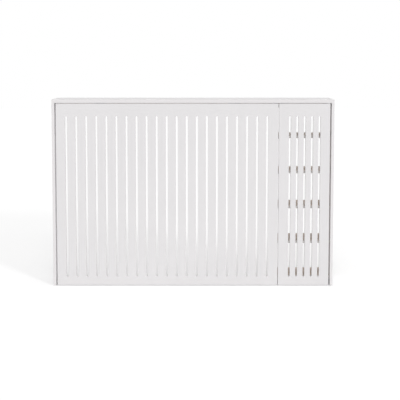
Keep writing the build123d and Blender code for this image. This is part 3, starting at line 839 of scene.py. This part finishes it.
@dataclass(frozen=True)
class PushLatch:
    """The push-to-open latch and the coil behind its plunger.

    Attributes:
        middle_x: Where the latch's axis is along the front.
        height: Height of its axis.
        tail: Where the plunger's tail stops, along Y.
        bore_end: Where the bore ends, along Y.
        coil_radius: Radius of the coil's centreline.
        wire_radius: Radius of its wire.
        turns: Turns of the coil.
        closing: How far the end turns close up, from 0 to 1.
        press: Travel of the plunger. Not used.
        turn_points: Points along each turn of the coil.
        wire_points: Points round the wire.
        nylon: The nodes of the case and the plunger.
        magnets: The node of the plunger's magnet.
        steel: The nodes of the disc on the door and of the screws.
    """

    middle_x: float = 0.400
    height: float = 0.786
    tail: float = -0.050
    bore_end: float = -0.034
    coil_radius: float = 0.00338
    wire_radius: float = 0.0004
    turns: float = 8.0
    closing: float = 0.62
    press: float = 0.003
    turn_points: int = 30
    wire_points: int = 12
    nylon: tuple[str, ...] = ("push_latch_body", "push_latch_plunger")
    magnets: tuple[str, ...] = ("latch_magnet",)
    steel: tuple[str, ...] = ("latch_screws", "latch_strike_disc", "latch_strike_screw")

    def coil(self) -> tuple[Floats, Ints]:
        """The spring's wire, a circle carried along a helix.

        With t from 0 to 1, the centreline turns by t times the turns and moves along Y
        by t less closing times sin(one turn of t) over one turn, so that its ends lie
        close. The wire's circle stands square to the centreline.

        Returns:
            The points and the quads.
        """
        t = np.linspace(0.0, 1.0, int(self.turns * self.turn_points))
        angle = TURN * self.turns * t
        travel = t - self.closing * np.sin(TURN * t) / TURN
        room = self.bore_end - self.tail - 2.0 * self.wire_radius
        along = self.tail + self.wire_radius + room * travel
        out = np.stack([np.cos(angle), np.zeros_like(angle), np.sin(angle)], -1)
        middle = np.stack([np.full_like(t, self.middle_x), along,
                           np.full_like(t, self.height)], -1)
        line = middle + self.coil_radius * out
        tangent = np.gradient(line, t, axis=0)
        tangent /= np.linalg.norm(tangent, axis=1, keepdims=True)
        side = np.cross(tangent, out)
        side /= np.linalg.norm(side, axis=1, keepdims=True)
        up = np.cross(side, tangent)
        turn = np.linspace(0.0, TURN, self.wire_points, endpoint=False)[None, :, None]
        circle = np.cos(turn) * up[:, None] + np.sin(turn) * side[:, None]
        return closed_tube(line[:, None] + self.wire_radius * circle)

    def wind_spring(self) -> None:
        """Builds the coil on the cabinet and hides the CAD spring in its place."""
        points, quads = self.coil()
        spring = smooth_object("latch_coil", points, quads, SPRING_STEEL.material())
        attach(spring, "cabinet")
        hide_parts("latch_spring")
        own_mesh(spring)

    def build(self) -> None:
        """Winds the spring and dresses the latch."""
        self.wind_spring()
        dress(self.nylon, WHITE_NYLON.material())
        dress(self.magnets, DARK_MAGNET.material())
        dress(self.steel, PLATED_STEEL.material())


@dataclass(frozen=True)
class Hardware:
    """The hinge, the catches, the pegs and the joinery.

    Attributes:
        zinc: Die-cast joinery.
        steel: Plated hinge plates, pins, screws and strike plates.
        nylon: Moulded bushes, housings and pegs.
        magnets: The catches' magnets.
        bumpers: Soft bumpers on the door.
        dowels: Upright wooden dowels.
    """

    zinc: tuple[str, ...] = ("cam_locks", "cam_bolts")
    steel: tuple[str, ...] = ("lower_pivot_bracket", "upper_pivot_plate", "pivot_pins",
                              "pivot_screws", "catch_screws", "strike_plates", "strike_screws")
    nylon: tuple[str, ...] = ("pivot_bushes", "thrust_washer", "catch_housings",
                              "locating_pegs", "peg_sockets")
    magnets: tuple[str, ...] = ("catch_magnets",)
    bumpers: tuple[str, ...] = ("door_bumpers",)
    dowels: tuple[str, ...] = ("wooden_dowels",)

    def build(self) -> None:
        """Gives each fitting its metal, nylon, magnet or wood."""
        dress(self.zinc, BRIGHT_ZINC.material())
        dress(self.steel, PLATED_STEEL.material())
        dress(self.nylon, WHITE_NYLON.material())
        dress(self.magnets, DARK_MAGNET.material())
        dress(self.bumpers, CLEAR_BUMPER.material())
        dress(self.dowels, RAW_BEECH.material(Axis.Z))


# --- Studio ----------------------------------------------------------------------------
@dataclass(frozen=True)
class Lamp:
    """A broad distant lamp.

    Attributes:
        name: Its name.
        azimuth: Degrees to the right of the view from the front.
        elevation: Degrees above the floor.
        spread: Degrees across that it covers in the sky.
        level: Light on a face turned towards it, where 1 shows a colour as it is written.
    """

    name: str
    azimuth: float
    elevation: float
    spread: float
    level: float

    def build(self) -> None:
        """Adds the lamp to the scene."""
        light = bpy.data.lights.new(self.name, "SUN")
        light.energy = math.pi * self.level
        light.angle = math.radians(self.spread)
        lamp = bpy.data.objects.new(self.name, light)
        lamp.rotation_euler = (math.radians(RIGHT_ANGLE - self.elevation), 0.0,
                               math.radians(self.azimuth))
        bpy.context.scene.collection.objects.link(lamp)


@dataclass(frozen=True)
class Studio:
    """The pale floor, the soft light and the camera.

    Attributes:
        lamps: The lamps.
        floor_half: Half the floor's width.
        floor_level: Level of the floor's white in the light that bounces off it.
        floor_glow: Light that the seen floor adds, where 1 is white.
        dome: Strength of the even light from all sides, where 1 is white.
        sensor: Width of the camera's sensor, in millimetres.
        lens: Focal length, in millimetres.
        camera_place: Where the camera stands.
        pitch: How far it looks down, in degrees.
        shift: How far its picture is shifted, in picture widths.
    """

    lamps: tuple[Lamp, ...] = (
        Lamp("key", azimuth=37.0, elevation=19.0, spread=8.0, level=0.199),
        Lamp("key_high", azimuth=37.0, elevation=30.0, spread=10.0, level=0.022),
        Lamp("front", azimuth=0.0, elevation=40.0, spread=30.0, level=0.163),
        Lamp("top", azimuth=0.0, elevation=80.0, spread=50.0, level=0.073),
    )
    floor_half: float = 14.0
    floor_level: float = 0.8
    floor_glow: float = 0.143
    dome: float = 0.635
    sensor: float = 36.0
    lens: float = 85.845
    camera_place: Point = (0.0, -4.2, 1.0)
    pitch: float = 4.889
    shift: tuple[float, float] = (0.01756, -0.155)

    @staticmethod
    def seen_ray(graph: Graph) -> bpy.types.NodeSocket:
        """Tells the rays that a floor or background is seen by from the rest.

        Args:
            graph: The graph to add the nodes to.

        Returns:
            One for camera, glossy and transmission rays, and zero for the rest.
        """
        path = graph.add("ShaderNodeLightPath").outputs
        seen = graph.math("MAXIMUM", path["Is Camera Ray"], path["Is Glossy Ray"])
        return graph.math("MAXIMUM", seen, path["Is Transmission Ray"])

    def paper(self) -> bpy.types.Material:
        """Makes the floor's white, which is a light grey in the light that bounces off it.

        Returns:
            The material.
        """
        made = bpy.data.materials.new("studio_floor")
        made.use_nodes = True
        made.node_tree.nodes.clear()
        graph = Graph(made.node_tree)
        seen = self.seen_ray(graph)
        colour = graph.blend(seen, opaque(WHITE, self.floor_level), opaque(WHITE))
        matt = graph.add("ShaderNodeBsdfDiffuse", {"Color": colour})
        strength = graph.math("MULTIPLY", seen, self.floor_glow)
        glow = graph.add("ShaderNodeEmission", {"Strength": strength})
        lit = graph.add("ShaderNodeAddShader", {0: matt.outputs[0], 1: glow.outputs[0]})
        graph.add("ShaderNodeOutputMaterial", {"Surface": lit.outputs[0]})
        return made

    def floor(self) -> None:
        """Lays the floor."""
        half = self.floor_half
        corners = np.array([[-half, -half, 0], [half, -half, 0], [half, half, 0], [-half, half, 0]])
        mesh = bpy.data.meshes.new("studio_floor")
        mesh.from_pydata(corners, [], [[0, 1, 2, 3]])
        mesh.materials.append(self.paper())
        floor = bpy.data.objects.new("studio_floor", mesh)
        bpy.context.scene.collection.objects.link(floor)

    def world(self) -> None:
        """Sets the even light, which is white where it is seen."""
        world = bpy.data.worlds.new("studio")
        bpy.context.scene.world = world
        world.use_nodes = True
        world.node_tree.nodes.clear()
        graph = Graph(world.node_tree)
        level = graph.math("MULTIPLY_ADD", self.seen_ray(graph), 1.0 - self.dome, self.dome)
        sky = graph.add("ShaderNodeBackground", {"Color": opaque(WHITE), "Strength": level})
        graph.add("ShaderNodeOutputWorld", {"Surface": sky.outputs[0]})

    def camera(self) -> None:
        """Places the camera in front of the middle, above the top and looking a little down."""
        data = bpy.data.cameras.new("view")
        data.sensor_width = self.sensor
        data.lens = self.lens
        data.shift_x, data.shift_y = self.shift
        camera = bpy.data.objects.new("view", data)
        camera.location = self.camera_place
        camera.rotation_euler = (math.radians(RIGHT_ANGLE - self.pitch), 0.0, 0.0)
        bpy.context.scene.collection.objects.link(camera)
        bpy.context.scene.camera = camera

    def build(self) -> None:
        """Builds the floor, world, lamps and camera."""
        bpy.context.scene.view_settings.view_transform = "Standard"
        self.floor()
        self.world()
        for lamp in self.lamps:
            lamp.build()
        self.camera()


def main() -> None:
    """Builds every sub-assembly and the studio in order."""
    logging.basicConfig(level=logging.INFO, format="%(name)s: %(message)s")
    for part in (Carcass(), ShelfBay(), FrontPanels(), PushLatch(), Hardware(), Studio()):
        part.build()
        log.info("finished %s", type(part).__name__)


if __name__ == "__main__":
    main()
